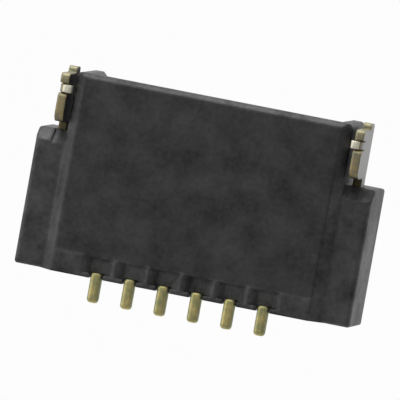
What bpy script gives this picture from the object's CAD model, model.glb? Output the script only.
import math

import bpy
from bpy.props import FloatProperty, FloatVectorProperty, PointerProperty
from mathutils import Matrix, Vector


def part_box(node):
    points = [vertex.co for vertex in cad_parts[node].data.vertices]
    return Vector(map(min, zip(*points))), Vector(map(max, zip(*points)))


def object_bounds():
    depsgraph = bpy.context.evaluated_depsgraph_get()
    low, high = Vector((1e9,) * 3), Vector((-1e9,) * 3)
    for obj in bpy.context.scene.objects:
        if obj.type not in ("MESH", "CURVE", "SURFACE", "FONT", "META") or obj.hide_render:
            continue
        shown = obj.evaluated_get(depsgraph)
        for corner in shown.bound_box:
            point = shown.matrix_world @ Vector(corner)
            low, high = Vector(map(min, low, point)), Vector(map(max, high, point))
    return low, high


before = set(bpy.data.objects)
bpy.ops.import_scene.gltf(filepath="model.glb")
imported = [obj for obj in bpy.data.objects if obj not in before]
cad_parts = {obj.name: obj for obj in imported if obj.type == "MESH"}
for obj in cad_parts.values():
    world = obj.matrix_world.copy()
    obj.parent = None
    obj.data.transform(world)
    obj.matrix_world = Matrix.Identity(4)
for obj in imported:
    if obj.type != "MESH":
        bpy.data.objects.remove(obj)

bl_info = {
    "name": "Flat Cable Connector Finish",
    "version": (1, 0, 0),
    "blender": (4, 5, 0),
    "location": "3D View > Sidebar > Connector",
    "description": "Gives the pieces of a flat cable connector their finishes and sets a plain stage",
    "category": "Object",
}

CAD_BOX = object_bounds()
HOUSING_LOW, HOUSING_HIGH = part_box("housing")
NAIL_LOW, NAIL_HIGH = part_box("nail_left")
CONTACTS = sorted(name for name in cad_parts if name.startswith("contact_"))
NAILS = sorted(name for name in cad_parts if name.startswith("nail_"))
MILLIMETRE = 0.001

# Added where a region of another colour has to reach past the piece's own faces
PAST = 1.0 * MILLIMETRE

# The pad under the lower jaw, up from the housing's lowest face, and the raised band behind it
PAD_HALF = 1.94 * MILLIMETRE
PAD_HIGH = 0.032 * MILLIMETRE
BAND_LENGTH = 0.335 * MILLIMETRE

# The band's pockets, measured from the housing's rear face and from its lowest face
POCKET_HALF = 1.5 * MILLIMETRE
POCKET_FRONT = 0.312 * MILLIMETRE
POCKET_REAR = 0.06 * MILLIMETRE
POCKET_LOW = 0.004 * MILLIMETRE
POCKET_HIGH = 0.115 * MILLIMETRE

# The nails' tinned tabs, heels and tongues, measured from a nail's box and the middle plane
NAIL_TAB_START = 0.25 * MILLIMETRE
NAIL_TAB_END = 0.375 * MILLIMETRE
NAIL_TAB_HEIGHT = 0.15 * MILLIMETRE
NAIL_TAB_REACH = 2.22 * MILLIMETRE
NAIL_HEEL_END = 0.79 * MILLIMETRE
NAIL_TONGUE_CORE = 0.18 * MILLIMETRE

# Moves the noise away from the object's origin, where its layers would line up
NOISE_SHIFT = (0.0137, 0.0053, 0.0081)
NOISE_LAYERS = {"Roughness": 0.55, "Lacunarity": 2.13}

# Nearly all of a noise's values lie in this span
NOISE_SPAN = (0.3, 0.7)

# How far the patches and flecks of the plastic change its colour and its roughness
PATCH_CHANGE = 0.6
FLECK_CHANGE = 0.28
ROUGHNESS_CHANGE = 0.08

# How bright the streaks of the stamped sheet are beside its plain colour
STREAK_TONES = (0.85, 1.1)

# A cut edge turns into a rolled face as its normal turns along the row, by its share of X
FACE_TURN = (0.45, 0.85)

# How many rays look for an edge near each point
EDGE_SAMPLES = 6

# A mask runs over this span
MASK_SPAN = (0.0, 1.0)

# A vector Mix node's factor and two sides, and its result, which share their names with others
MIX_INPUTS = (0, 4, 5)
MIX_RESULT = 1

FLOOR_REACH = 200 * MILLIMETRE
FLOOR_DROP = 0.02 * MILLIMETRE
FLOOR_ROUGHNESS = 0.9

# The soft light is strongest along this direction, and grows over this span of it
LIGHT_AXIS = (-0.13, 0.0, 0.99)
LIGHT_SPAN = (-1.0, 0.5)

# Where the lamps stand, seen from the part
FRONT_LAMP_SIDE = (-0.3, -1.0, -0.13)
LEFT_LAMP_SIDE = (-1.0, -0.2, -0.8)
LAMP_DISTANCE = 60 * MILLIMETRE
LAMP_WIDTH = 30 * MILLIMETRE

# The camera sees from this share of its distance to this many times it
CLIP_NEAR = 0.1
CLIP_FAR = 10.0


def colour_setting(name, description, default):
    """A colour that a user can change."""
    return FloatVectorProperty(name=name, description=description, default=default,
                               subtype="COLOR", size=3, min=0.0, max=1.0)


def length_setting(name, description, millimetres):
    """A length that a user can change, written in millimetres here."""
    return FloatProperty(name=name, description=description, default=millimetres * MILLIMETRE,
                         unit="LENGTH", subtype="DISTANCE", precision=6)


def factor_setting(name, description, default):
    """A share from 0 to 1 that a user can change."""
    return FloatProperty(name=name, description=description, default=default,
                         subtype="FACTOR", min=0.0, max=1.0)


def tone_setting(name, description, default):
    """A brightness beside the rest, where 1 changes nothing."""
    return FloatProperty(name=name, description=description, default=default, min=0.0, max=4.0)


def angle_setting(name, description, degrees):
    """An angle that a user can change, written in degrees here."""
    return FloatProperty(name=name, description=description, default=math.radians(degrees),
                         unit="ROTATION", subtype="ANGLE")


def power_setting(name, description, watts):
    """A lamp's power that a user can change."""
    return FloatProperty(name=name, description=description, default=watts, unit="POWER",
                         min=0.0, precision=4)


class MouldedFinish(bpy.types.PropertyGroup):
    """Black moulded plastic of the housing and the lever."""
    colour: colour_setting("Plastic", "Colour of the housing's plastic", (0.045, 0.045, 0.045))
    lever_colour: colour_setting("Lever", "Colour of the lever's plastic", (0.030, 0.030, 0.031))
    roughness: factor_setting("Roughness", "Matt moulded surface", 0.52)
    mottling: factor_setting("Mottling", "Contrast of the cloudy patches", 1.0)
    patch: length_setting("Patch size", "Width of a cloudy patch", 0.40)
    fleck: length_setting("Fleck size", "Width of a small fleck", 0.07)
    pad_tone: tone_setting("Pad tone", "Brightness of the lower jaw's pad beside the rest", 0.67)
    pocket_tone: tone_setting("Pocket tone", "Brightness of the band's pockets beside the rest",
                              1.5)
    grain: length_setting("Grain size", "Width of the fine grain", 0.02)
    grain_depth: length_setting("Grain depth", "Depth of the fine grain", 0.0012)
    softness: length_setting("Edge softness", "Rounding of the moulded edges", 0.07)
    pocket_softness: length_setting("Pocket softness", "Rounding of the pockets' edges", 0.02)


class PlatedFinish(bpy.types.PropertyGroup):
    """Stamped and plated sheet of the contacts and the fitting nails."""
    contact_edge: colour_setting("Contact edge", "Cut edges of the contacts", (0.70, 0.58, 0.25))
    contact_face: colour_setting("Contact face", "Rolled faces of the contacts",
                                 (0.34, 0.35, 0.22))
    contact_tarnish: colour_setting("Contact tarnish", "Duller patches on the cut edges",
                                    (0.35, 0.37, 0.19))
    nail_edge: colour_setting("Nail edge", "Cut edges of the fitting nails", (0.50, 0.38, 0.18))
    toe_edge: colour_setting("Toe edge", "Cut edges of the nails' front feet",
                             (0.45, 0.405, 0.245))
    nail_tarnish: colour_setting("Nail tarnish", "Duller patches on the nails' cut edges",
                                 (0.27, 0.27, 0.20))
    nail_face: colour_setting("Nail face", "Rolled faces of the nails", (0.35, 0.355, 0.345))
    inward_tone: tone_setting("Inward tone", "Brightness of faces turned to the housing", 0.12)
    tab_colour: colour_setting("Solder tab", "Tinned solder tabs of the nails",
                               (0.86, 0.82, 0.68))
    tab_roughness: factor_setting("Tab roughness", "Tinned solder tabs", 0.6)
    tongue_tone: tone_setting("Tongue tone", "Brightness of the tongues' lower edges", 0.35)
    roughness: factor_setting("Roughness", "Dull plating", 0.55)
    patch: length_setting("Tarnish size", "Width of a tarnished patch", 0.13)
    streak: length_setting("Streak size", "Width of a rolling streak", 0.02)
    streak_depth: length_setting("Streak depth", "Depth of the streaks", 0.001)
    softness: length_setting("Edge softness", "Rounding of the contacts' edges", 0.045)
    nail_softness: length_setting("Nail softness", "Rounding of the nails' edges", 0.05)


class StageSettings(bpy.types.PropertyGroup):
    """Camera, lamps, soft light and floor."""
    azimuth: angle_setting("Azimuth", "Camera's place round the part", 69.3)
    elevation: angle_setting("Elevation", "Camera's height; it looks at the underside", -77.2)
    roll: angle_setting("Roll", "How far the picture is turned", 11.1)
    lens: FloatProperty(name="Lens", description="Long lens, in millimetres", default=1200.0,
                        unit="CAMERA")
    frame_width: length_setting("Frame width", "What the picture spans at the part", 5.771)
    aim_right: length_setting("Aim right", "Picture's middle, right of the part's", -0.026)
    aim_up: length_setting("Aim up", "Picture's middle, above the part's", 0.090)
    front_power: power_setting("Front lamp", "Power of the lamp on the cable side", 0.017)
    left_power: power_setting("Left lamp", "Power of the lamp below the left wing", 0.010)
    light_below: factor_setting("Light below", "Strength of the soft light from below", 0.24)
    light_above: factor_setting("Light above", "Strength of the soft light from above", 0.94)
    background: colour_setting("Background", "Colour behind the part", (0.98, 0.98, 0.98))


def rgba(colour, alpha=1.0):
    """A colour with its alpha."""
    return (*colour, alpha)


def new_group(name, inputs, outputs):
    """An empty shader group with named sockets, each given as a name and a socket kind."""
    group = bpy.data.node_groups.new(name, "ShaderNodeTree")
    for label, kind in inputs:
        group.interface.new_socket(name=label, in_out="INPUT", socket_type=kind)
    for label, kind in outputs:
        group.interface.new_socket(name=label, in_out="OUTPUT", socket_type=kind)
    return group, group.nodes.new("NodeGroupInput"), group.nodes.new("NodeGroupOutput")


def add_node(tree, kind, values=None, **properties):
    """A node with its properties set and its unlinked inputs given by name or number."""
    node = tree.nodes.new(kind)
    for key, value in properties.items():
        setattr(node, key, value)
    for key, value in (values or {}).items():
        node.inputs[key].default_value = value
    return node


def use_group(tree, group, values):
    """A group node with its unlinked inputs set."""
    return add_node(tree, "ShaderNodeGroup", values, node_tree=group)


def link(tree, source, output, target, entry):
    """Join an output to an input."""
    tree.links.new(source.outputs[output], target.inputs[entry])


def arithmetic(tree, operation, first, second=0.0):
    """A math node; each side is a plain number or a node with its output."""
    node = add_node(tree, "ShaderNodeMath", operation=operation)
    for entry, side in enumerate((first, second)):
        if isinstance(side, (int, float)):
            node.inputs[entry].default_value = side
        else:
            link(tree, *side, node, entry)
    return node


def map_range(tree, source, span, target, interpolation="LINEAR"):
    """The source, a node and its output, carried from one span of values to another."""
    node = add_node(tree, "ShaderNodeMapRange",
                    {"From Min": span[0], "From Max": span[1],
                     "To Min": target[0], "To Max": target[1]},
                    interpolation_type=interpolation)
    link(tree, *source, node, "Value")
    return node


def mixed(tree, share, first, second):
    """A mix of two colours: the first where the share is 0, the second where it is 1."""
    node = add_node(tree, "ShaderNodeMix", data_type="VECTOR")
    for entry, side in zip(MIX_INPUTS, (share, first, second)):
        link(tree, *side, node, entry)
    return node


def scaled(tree, colour, tone):
    """A colour times a tone, which is a plain number or a node with its output."""
    node = add_node(tree, "ShaderNodeVectorMath", operation="SCALE")
    link(tree, *colour, node, 0)
    if isinstance(tone, float):
        node.inputs["Scale"].default_value = tone
    else:
        link(tree, *tone, node, "Scale")
    return node


def clouds(tree, place, scale, target, detail=3.0):
    """Noise in object coordinates, spread over the target span; scale is a node and output."""
    moved = add_node(tree, "ShaderNodeVectorMath", {1: NOISE_SHIFT}, operation="ADD")
    link(tree, place, "Object", moved, 0)
    noise = add_node(tree, "ShaderNodeTexNoise", {"Detail": detail, **NOISE_LAYERS})
    link(tree, moved, "Vector", noise, "Vector")
    link(tree, *scale, noise, "Scale")
    return map_range(tree, (noise, "Fac"), NOISE_SPAN, target)


def surface_group():
    """Soft edges under a fine bumpy height: gives the normal."""
    name = "Soft Surface"
    if name in bpy.data.node_groups:
        return bpy.data.node_groups[name]
    tree, given, result = new_group(
        name,
        (("Softness", "NodeSocketFloat"), ("Height", "NodeSocketFloat"),
         ("Depth", "NodeSocketFloat")),
        (("Normal", "NodeSocketVector"),))
    soft = add_node(tree, "ShaderNodeBevel", samples=EDGE_SAMPLES)
    link(tree, given, "Softness", soft, "Radius")
    bump = add_node(tree, "ShaderNodeBump", {"Strength": 1.0})
    link(tree, given, "Height", bump, "Height")
    link(tree, given, "Depth", bump, "Distance")
    link(tree, soft, "Normal", bump, "Normal")
    link(tree, bump, "Normal", result, "Normal")
    return tree


def moulded_group():
    """Cloudy patches, small flecks and fine grain of moulded plastic."""
    name = "Moulded Surface"
    if name in bpy.data.node_groups:
        return bpy.data.node_groups[name]
    tree, given, result = new_group(
        name,
        (("Colour", "NodeSocketColor"), ("Mottling", "NodeSocketFloat"),
         ("Patch Scale", "NodeSocketFloat"), ("Fleck Scale", "NodeSocketFloat"),
         ("Grain Scale", "NodeSocketFloat")),
        (("Colour", "NodeSocketColor"), ("Grain", "NodeSocketFloat"),
         ("Cloud", "NodeSocketFloat")))
    place = add_node(tree, "ShaderNodeTexCoord")
    patches = clouds(tree, place, (given, "Patch Scale"), (-PATCH_CHANGE, PATCH_CHANGE))
    flecks = clouds(tree, place, (given, "Fleck Scale"), (-FLECK_CHANGE, FLECK_CHANGE))
    both = arithmetic(tree, "ADD", (patches, "Result"), (flecks, "Result"))
    change = arithmetic(tree, "MULTIPLY", (both, "Value"), (given, "Mottling"))
    tone = arithmetic(tree, "ADD", (change, "Value"), 1.0)
    tinted = scaled(tree, (given, "Colour"), (tone, "Value"))
    link(tree, tinted, "Vector", result, "Colour")
    grain = clouds(tree, place, (given, "Grain Scale"), MASK_SPAN, detail=2.0)
    link(tree, grain, "Result", result, "Grain")
    link(tree, both, "Value", result, "Cloud")
    return tree


def region_group():
    """One colour inside an upright box of object coordinates, another outside it."""
    name = "Colour Region"
    if name in bpy.data.node_groups:
        return bpy.data.node_groups[name]
    tree, given, result = new_group(
        name,
        (("Colour", "NodeSocketColor"), ("Region Colour", "NodeSocketColor"),
         ("Low", "NodeSocketVector"), ("High", "NodeSocketVector")),
        (("Colour", "NodeSocketColor"), ("Inside", "NodeSocketFloat")))
    place = add_node(tree, "ShaderNodeTexCoord")
    here = add_node(tree, "ShaderNodeSeparateXYZ")
    link(tree, place, "Object", here, "Vector")
    inside = 1.0
    for bound, operation in (("Low", "GREATER_THAN"), ("High", "LESS_THAN")):
        limit = add_node(tree, "ShaderNodeSeparateXYZ")
        link(tree, given, bound, limit, "Vector")
        for axis in "XYZ":
            test = arithmetic(tree, operation, (here, axis), (limit, axis))
            inside = (arithmetic(tree, "MULTIPLY", inside, (test, "Value")), "Value")
    link(tree, *inside, result, "Inside")
    blend = mixed(tree, inside, (given, "Colour"), (given, "Region Colour"))
    link(tree, blend, MIX_RESULT, result, "Colour")
    return tree


def inward_dimming(tree, given, place, turned, face):
    """The tone of each point: the Inward Tone on rolled faces that look to the middle, else 1."""
    here = add_node(tree, "ShaderNodeSeparateXYZ")
    link(tree, place, "Object", here, "Vector")
    away = arithmetic(tree, "MULTIPLY", (here, "X"), (turned, "X"))
    inward = arithmetic(tree, "LESS_THAN", (away, "Value"), 0.0)
    shaded = arithmetic(tree, "MULTIPLY", (inward, "Value"), face)
    loss = arithmetic(tree, "SUBTRACT", 1.0, (given, "Inward Tone"))
    dimming = arithmetic(tree, "MULTIPLY", (shaded, "Value"), (loss, "Value"))
    return arithmetic(tree, "SUBTRACT", 1.0, (dimming, "Value"))


def sheet_group():
    """Colours of stamped sheet: cut edges, rolled faces, and duller faces that look inwards."""
    name = "Stamped Sheet"
    if name in bpy.data.node_groups:
        return bpy.data.node_groups[name]
    tree, given, result = new_group(
        name,
        (("Edge Colour", "NodeSocketColor"), ("Tarnish Colour", "NodeSocketColor"),
         ("Face Colour", "NodeSocketColor"), ("Inward Tone", "NodeSocketFloat"),
         ("Patch Scale", "NodeSocketFloat"), ("Streak Scale", "NodeSocketFloat")),
        (("Colour", "NodeSocketColor"), ("Streaks", "NodeSocketFloat")))
    place = add_node(tree, "ShaderNodeTexCoord")
    turned = add_node(tree, "ShaderNodeSeparateXYZ")
    link(tree, place, "Normal", turned, "Vector")
    sideways = arithmetic(tree, "ABSOLUTE", (turned, "X"))
    face = map_range(tree, (sideways, "Value"), FACE_TURN, MASK_SPAN), "Result"
    patches = clouds(tree, place, (given, "Patch Scale"), MASK_SPAN)
    edges = mixed(tree, (patches, "Result"), (given, "Edge Colour"), (given, "Tarnish Colour"))
    sheet = mixed(tree, face, (edges, MIX_RESULT), (given, "Face Colour"))
    tone = inward_dimming(tree, given, place, turned, face)
    streaks = clouds(tree, place, (given, "Streak Scale"), STREAK_TONES)
    level = arithmetic(tree, "MULTIPLY", (tone, "Value"), (streaks, "Result"))
    toned = scaled(tree, (sheet, MIX_RESULT), (level, "Value"))
    link(tree, toned, "Vector", result, "Colour")
    link(tree, streaks, "Result", result, "Streaks")
    return tree


def new_material(name):
    """An empty material with its shader joined to the output."""
    material = bpy.data.materials.new(name)
    material.use_nodes = True
    tree = material.node_tree
    tree.nodes.clear()
    output = tree.nodes.new("ShaderNodeOutputMaterial")
    shader = tree.nodes.new("ShaderNodeBsdfPrincipled")
    link(tree, shader, "BSDF", output, "Surface")
    return material, tree, shader


def wear(node, material):
    """Put the material in every slot of a CAD node."""
    mesh_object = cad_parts[node]
    if not mesh_object.material_slots:
        raise RuntimeError(f"{node} has no material slot")
    for slot in mesh_object.material_slots:
        slot.material = material


def toned_region(tree, source, tone, low, high):
    """The source's colour, times a tone inside a box of object coordinates."""
    region = use_group(tree, region_group(), {"Low": low, "High": high})
    link(tree, source, "Colour", region, "Colour")
    link(tree, scaled(tree, (source, "Colour"), tone), "Vector", region, "Region Colour")
    return region


def moulded_material(name, colour, finish):
    """Black plastic with cloudy patches, fine grain and soft edges."""
    material, tree, shader = new_material(name)
    surface = use_group(tree, moulded_group(), {
        "Colour": rgba(colour), "Mottling": finish.mottling,
        "Patch Scale": 1.0 / finish.patch, "Fleck Scale": 1.0 / finish.fleck,
        "Grain Scale": 1.0 / finish.grain})
    relief = use_group(tree, surface_group(), {"Softness": finish.softness,
                                               "Depth": finish.grain_depth})
    link(tree, surface, "Grain", relief, "Height")
    link(tree, relief, "Normal", shader, "Normal")
    link(tree, surface, "Colour", shader, "Base Color")
    rough = map_range(tree, (surface, "Cloud"), (-1.0, 1.0),
                      (finish.roughness + ROUGHNESS_CHANGE, finish.roughness - ROUGHNESS_CHANGE))
    link(tree, rough, "Result", shader, "Roughness")
    return material, tree, shader, surface, relief


def tone_underside(tree, shader, surface, relief, finish):
    """The lower jaw's pad is a little darker; the band's pockets are paler and sharper."""
    low, rear = HOUSING_LOW, HOUSING_HIGH.y
    pad = toned_region(tree, surface, finish.pad_tone,
                       (-PAD_HALF, low.y, low.z),
                       (PAD_HALF, rear - BAND_LENGTH, low.z + PAD_HIGH))
    pockets = toned_region(tree, pad, finish.pocket_tone,
                           (-POCKET_HALF, rear - POCKET_FRONT, low.z + POCKET_LOW),
                           (POCKET_HALF, rear - POCKET_REAR, low.z + POCKET_HIGH))
    link(tree, pockets, "Colour", shader, "Base Color")
    softness = map_range(tree, (pockets, "Inside"), MASK_SPAN,
                         (finish.softness, finish.pocket_softness))
    link(tree, softness, "Result", relief, "Softness")


def plated_material(name, colours, softness, finish, inward_tone=1.0):
    """Dull plated metal sheet; colours are its cut edges, their tarnish and its rolled faces."""
    material, tree, shader = new_material(name)
    edge, tarnish, face = (rgba(colour) for colour in colours)
    surface = use_group(tree, sheet_group(), {
        "Edge Colour": edge, "Tarnish Colour": tarnish, "Face Colour": face,
        "Inward Tone": inward_tone, "Patch Scale": 1.0 / finish.patch,
        "Streak Scale": 1.0 / finish.streak})
    link(tree, surface, "Colour", shader, "Base Color")
    relief = use_group(tree, surface_group(), {"Softness": softness,
                                               "Depth": finish.streak_depth})
    link(tree, surface, "Streaks", relief, "Height")
    link(tree, relief, "Normal", shader, "Normal")
    shader.inputs["Metallic"].default_value = 1.0
    shader.inputs["Roughness"].default_value = finish.roughness
    return material, tree, shader, surface


def tone_nail_parts(tree, shader, surface, finish):
    """The nails' front feet are greyer, their tongues darker and their solder tabs tinned."""
    side, front, bottom = NAIL_LOW
    toes = use_group(tree, region_group(), {
        "Colour": rgba(finish.nail_edge), "Region Colour": rgba(finish.toe_edge),
        "Low": (side - PAST, front - PAST, bottom - PAST),
        "High": (PAST - side, front + NAIL_TAB_START, NAIL_HIGH.z)})
    link(tree, toes, "Colour", surface, "Edge Colour")
    tongue = toned_region(tree, surface, finish.tongue_tone,
                          (side, front + NAIL_HEEL_END, bottom),
                          (-side, NAIL_HIGH.y, NAIL_HIGH.z - NAIL_TONGUE_CORE))
    tab = use_group(tree, region_group(), {
        "Region Colour": rgba(finish.tab_colour),
        "Low": (-NAIL_TAB_REACH, front + NAIL_TAB_START, bottom - PAST),
        "High": (NAIL_TAB_REACH, front + NAIL_TAB_END, bottom + NAIL_TAB_HEIGHT)})
    link(tree, tongue, "Colour", tab, "Colour")
    link(tree, tab, "Colour", shader, "Base Color")
    rough = map_range(tree, (tab, "Inside"), MASK_SPAN, (finish.roughness, finish.tab_roughness))
    link(tree, rough, "Result", shader, "Roughness")


class FinishHousing(bpy.types.Operator):
    """Give the housing its black moulded plastic"""
    bl_idname = "connector.finish_housing"
    bl_label = "Finish Housing"

    def execute(self, context):
        moulded = context.scene.moulded_finish
        material, *nodes = moulded_material("Housing Plastic", moulded.colour, moulded)
        tone_underside(*nodes, moulded)
        wear("housing", material)
        return {"FINISHED"}


class FinishLever(bpy.types.Operator):
    """Give the flip lever its black moulded plastic"""
    bl_idname = "connector.finish_lever"
    bl_label = "Finish Lever"

    def execute(self, context):
        moulded = context.scene.moulded_finish
        material, *_ = moulded_material("Lever Plastic", moulded.lever_colour, moulded)
        wear("actuator", material)
        return {"FINISHED"}


class FinishContacts(bpy.types.Operator):
    """Give the stamped contacts their plating"""
    bl_idname = "connector.finish_contacts"
    bl_label = "Finish Contacts"

    def execute(self, context):
        plated = context.scene.plated_finish
        colours = plated.contact_edge, plated.contact_tarnish, plated.contact_face
        material, *_ = plated_material("Contact Plating", colours, plated.softness, plated)
        for name in CONTACTS:
            wear(name, material)
        return {"FINISHED"}


class FinishNails(bpy.types.Operator):
    """Give the two fitting nails their plating"""
    bl_idname = "connector.finish_nails"
    bl_label = "Finish Nails"

    def execute(self, context):
        plated = context.scene.plated_finish
        colours = plated.nail_edge, plated.nail_tarnish, plated.nail_face
        material, *nodes = plated_material("Nail Plating", colours, plated.nail_softness, plated,
                                           plated.inward_tone)
        tone_nail_parts(*nodes, plated)
        for name in NAILS:
            wear(name, material)
        return {"FINISHED"}


def floor_material(background):
    """A pale matt surface for the camera, from above; nothing else sees it."""
    material, tree, shader = new_material("Floor")
    shader.inputs["Base Color"].default_value = rgba(background)
    shader.inputs["Roughness"].default_value = FLOOR_ROUGHNESS
    seen = add_node(tree, "ShaderNodeLightPath")
    side = add_node(tree, "ShaderNodeNewGeometry")
    above = arithmetic(tree, "SUBTRACT", 1.0, (side, "Backfacing"))
    shown = arithmetic(tree, "MULTIPLY", (seen, "Is Camera Ray"), (above, "Value"))
    clear = add_node(tree, "ShaderNodeBsdfTransparent")
    mix = add_node(tree, "ShaderNodeMixShader")
    link(tree, shown, "Value", mix, 0)
    link(tree, clear, "BSDF", mix, 1)
    link(tree, shader, "BSDF", mix, 2)
    link(tree, mix, "Shader", tree.get_output_node("ALL"), "Surface")
    return material


def make_floor(stage):
    """A square floor just under the part, facing up."""
    corners = [(x * FLOOR_REACH, y * FLOOR_REACH, -FLOOR_DROP)
               for x, y in ((-1, -1), (1, -1), (1, 1), (-1, 1))]
    mesh = bpy.data.meshes.new("floor")
    mesh.from_pydata(corners, [], [(0, 1, 2, 3)])
    mesh.materials.append(floor_material(stage.background))
    floor = bpy.data.objects.new("floor", mesh)
    bpy.context.scene.collection.objects.link(floor)


def make_world(stage):
    """White behind the part, and a weaker soft light from below than from above."""
    world = bpy.data.worlds.new("Studio")
    world.use_nodes = True
    tree = world.node_tree
    tree.nodes.clear()
    output = tree.nodes.new("ShaderNodeOutputWorld")
    seen = add_node(tree, "ShaderNodeLightPath")
    place = add_node(tree, "ShaderNodeTexCoord")
    slant = add_node(tree, "ShaderNodeVectorMath", {1: LIGHT_AXIS}, operation="DOT_PRODUCT")
    link(tree, place, "Generated", slant, 0)
    strength = map_range(tree, (slant, "Value"), LIGHT_SPAN,
                         (stage.light_below, stage.light_above), interpolation="SMOOTHSTEP")
    light = add_node(tree, "ShaderNodeBackground", {"Color": (1.0, 1.0, 1.0, 1.0)})
    link(tree, strength, "Result", light, "Strength")
    white = add_node(tree, "ShaderNodeBackground", {"Color": rgba(stage.background)})
    mix = add_node(tree, "ShaderNodeMixShader")
    link(tree, seen, "Is Camera Ray", mix, 0)
    link(tree, light, "Background", mix, 1)
    link(tree, white, "Background", mix, 2)
    link(tree, mix, "Shader", output, "Surface")
    bpy.context.scene.world = world


def make_lamp(name, side, watts):
    """A square soft lamp that faces the part from the given side."""
    lamp = bpy.data.lights.new(name, "AREA")
    lamp.shape = "SQUARE"
    lamp.size = LAMP_WIDTH
    lamp.energy = watts
    place = Vector(side).normalized() * LAMP_DISTANCE
    lamp_object = bpy.data.objects.new(name, lamp)
    lamp_object.location = place
    lamp_object.rotation_mode = "QUATERNION"
    lamp_object.rotation_quaternion = (-place).to_track_quat("-Z", "Y")
    bpy.context.scene.collection.objects.link(lamp_object)


def make_camera(stage):
    """A long lens at the photograph's angle, turned and placed to frame the part as it does."""
    low, high = CAD_BOX
    middle = (low + high) / 2
    flat = math.cos(stage.elevation)
    back = Vector((math.sin(stage.azimuth) * flat, -math.cos(stage.azimuth) * flat,
                   math.sin(stage.elevation)))
    level = Vector((1, 0, 0)) - back * back.x
    level.normalize()
    upright = back.cross(level)
    right = level * math.cos(stage.roll) + upright * math.sin(stage.roll)
    up = upright * math.cos(stage.roll) - level * math.sin(stage.roll)
    data = bpy.data.cameras.new("Camera")
    data.lens = stage.lens
    distance = stage.frame_width * data.lens / data.sensor_width
    data.clip_start = distance * CLIP_NEAR
    data.clip_end = distance * CLIP_FAR
    camera = bpy.data.objects.new("Camera", data)
    place = middle + back * distance + right * stage.aim_right + up * stage.aim_up
    turn = Matrix((right, up, back)).transposed()
    camera.matrix_world = Matrix.Translation(place) @ turn.to_4x4()
    bpy.context.scene.collection.objects.link(camera)
    bpy.context.scene.camera = camera


class BuildStage(bpy.types.Operator):
    """Add the floor, the lamps, the world and the camera"""
    bl_idname = "connector.build_stage"
    bl_label = "Build Stage"

    def execute(self, context):
        stage = context.scene.connector_stage
        make_floor(stage)
        make_world(stage)
        make_lamp("Front Lamp", FRONT_LAMP_SIDE, stage.front_power)
        make_lamp("Left Lamp", LEFT_LAMP_SIDE, stage.left_power)
        make_camera(stage)
        context.scene.view_settings.view_transform = "Standard"
        return {"FINISHED"}


class ConnectorPanel(bpy.types.Panel):
    """Lists the steps and their settings"""
    bl_idname = "VIEW3D_PT_connector"
    bl_label = "Flat Cable Connector"
    bl_space_type = "VIEW_3D"
    bl_region_type = "UI"
    bl_category = "Connector"

    def draw(self, context):
        layout = self.layout
        for key in GROUPS:
            group = getattr(context.scene, key)
            for setting in group.bl_rna.properties.keys():
                if setting not in {"rna_type", "name"}:
                    layout.prop(group, setting)
        for operator in OPERATORS:
            layout.operator(operator.bl_idname)


OPERATORS = (FinishHousing, FinishLever, FinishContacts, FinishNails, BuildStage)
GROUPS = {"moulded_finish": MouldedFinish, "plated_finish": PlatedFinish,
          "connector_stage": StageSettings}
CLASSES = (*GROUPS.values(), *OPERATORS, ConnectorPanel)


def register():
    """Register the classes and hang the settings on the scene."""
    for item in CLASSES:
        bpy.utils.register_class(item)
    for key, group in GROUPS.items():
        setattr(bpy.types.Scene, key, PointerProperty(type=group))


def unregister():
    """Take the settings and the classes away again."""
    for key in GROUPS:
        delattr(bpy.types.Scene, key)
    for item in reversed(CLASSES):
        bpy.utils.unregister_class(item)


def main():
    """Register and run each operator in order."""
    register()
    bpy.ops.connector.finish_housing()
    bpy.ops.connector.finish_lever()
    bpy.ops.connector.finish_contacts()
    bpy.ops.connector.finish_nails()
    bpy.ops.connector.build_stage()


if __name__ == "__main__":
    main()
